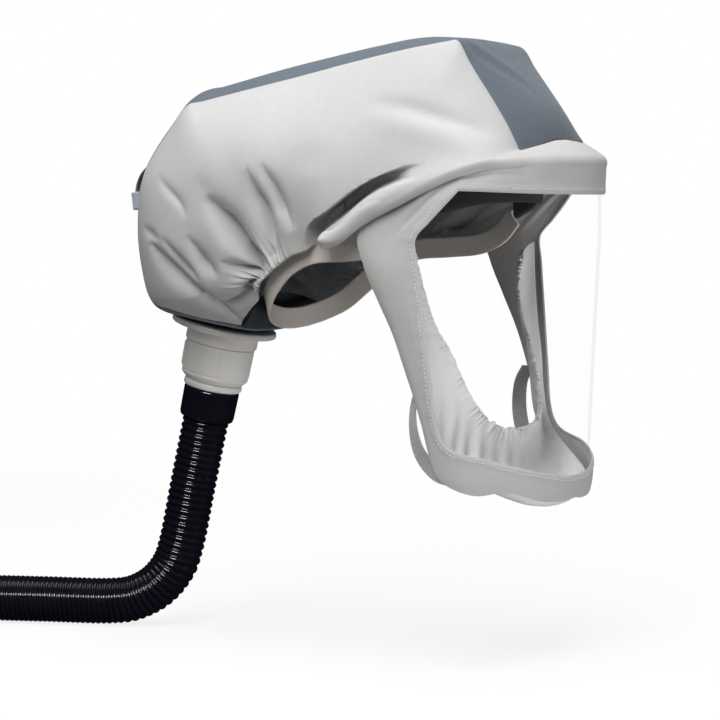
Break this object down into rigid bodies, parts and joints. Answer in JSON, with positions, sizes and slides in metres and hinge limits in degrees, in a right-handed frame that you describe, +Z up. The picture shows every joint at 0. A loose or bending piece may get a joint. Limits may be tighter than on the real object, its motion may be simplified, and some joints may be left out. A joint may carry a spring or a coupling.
{
  "type": "powered air respirator hood",
  "caption": "Loose grey cloth respirator hood with a clear curved visor, slate centre strip, elastic head band, and an air coupling at the back that feeds it through a black corrugated hose.",
  "frame": {"origin": "middle of the wearer's head at the level of the band over the ears", "axes": "+Z up, the visor faces -Y, the wearer's right is -X"},
  "size_m": [0.4193, 0.5526, 0.3992],
  "materials": {
    "coated_fabric": "smooth coated cloth with a slight sheen",
    "slate_fabric": "matt coated cloth",
    "dark_slate_fabric": "matt cloth in shadow",
    "seal_fabric": "soft thin cloth, gathered on elastic",
    "elastic_band": "knitted elastic",
    "pad_foam": "cloth-covered foam",
    "grey_webbing": "narrow woven webbing",
    "slate_webbing": "woven webbing",
    "slate_plastic": "moulded",
    "grey_plastic": "satin moulded",
    "black_rubber": "semi-gloss",
    "clear_sheet": "clear plastic sheet"
  },
  "bodies": {
    "root": {"side_panel_right": "coated_fabric", "side_panel_left": "coated_fabric", "front_panel": "slate_fabric", "crown_panel": "slate_fabric", "rear_panel": "slate_fabric", "base_panel": "slate_fabric", "nape_panel": "dark_slate_fabric", "brow_band": "coated_fabric", "face_frame": "coated_fabric", "visor": "clear_sheet", "face_seal": "seal_fabric", "neck_band": "elastic_band", "brow_pad": "pad_foam", "cheek_strap_right": "grey_webbing", "cheek_strap_left": "grey_webbing", "rear_strap": "slate_webbing", "strap_slider": "slate_plastic", "inlet_flange": "grey_plastic", "coupling_collar": "grey_plastic", "coupling_body": "grey_plastic", "coupling_lip": "grey_plastic", "hose_cuff": "black_rubber", "hose": "black_rubber", "hose_end_cuff": "black_rubber", "hose_plug": "grey_plastic"}
  },
  "joints": []
}
